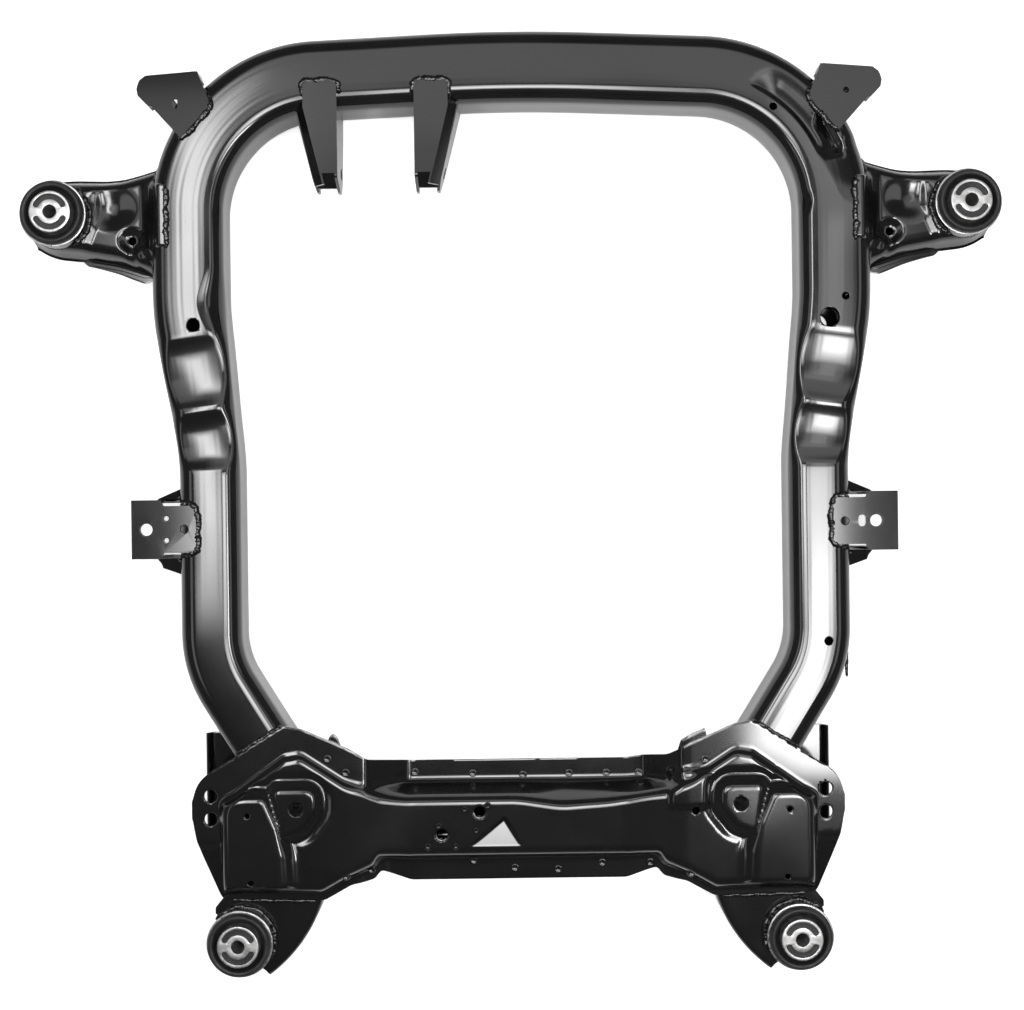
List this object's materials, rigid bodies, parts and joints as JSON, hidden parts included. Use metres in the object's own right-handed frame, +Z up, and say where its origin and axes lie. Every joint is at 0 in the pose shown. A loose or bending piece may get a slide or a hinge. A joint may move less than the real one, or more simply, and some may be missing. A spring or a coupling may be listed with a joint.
{
  "type": "subframe",
  "caption": "Front subframe: a formed tube bent round three sides, closed by a stamped crossmember, with rubber body mounts and welded brackets.",
  "frame": {"origin": "middle of the plane that the four mount cores stand on", "axes": "+Y towards the front of the car, +X towards the right of the picture, +Z up"},
  "size_m": [0.988, 0.949, 0.099],
  "materials": {
    "black_paint": "gloss black dip coat",
    "bare_steel": "zinc plated",
    "bush_rubber": "matt black",
    "core_aluminium": "as cast"
  },
  "bodies": {
    "root": {"perimeter_tube": "black_paint", "crossmember_upper": "black_paint", "crossmember_lower": "black_paint", "engine_bracket_outer": "black_paint", "engine_bracket_inner": "black_paint", "beam_weld_nuts": "black_paint", "front_arm_upper_left": "black_paint", "front_arm_lower_left": "black_paint", "front_sleeve_left": "black_paint", "rear_sleeve_left": "black_paint", "rear_mount_bracket_left": "black_paint", "corner_bracket_left": "black_paint", "control_arm_bracket_left": "black_paint", "rack_spacer_left": "black_paint", "front_bush_shell_left": "bare_steel", "front_bush_rubber_left": "bush_rubber", "front_bush_core_left": "core_aluminium", "rear_bush_shell_left": "bare_steel", "rear_bush_rubber_left": "bush_rubber", "rear_bush_core_left": "core_aluminium", "front_arm_upper_right": "black_paint", "front_arm_lower_right": "black_paint", "front_sleeve_right": "black_paint", "rear_sleeve_right": "black_paint", "rear_mount_bracket_right": "black_paint", "corner_bracket_right": "black_paint", "control_arm_bracket_right": "black_paint", "rack_spacer_right": "black_paint", "front_bush_shell_right": "bare_steel", "front_bush_rubber_right": "bush_rubber", "front_bush_core_right": "core_aluminium", "rear_bush_shell_right": "bare_steel", "rear_bush_rubber_right": "bush_rubber", "rear_bush_core_right": "core_aluminium"}
  },
  "joints": []
}
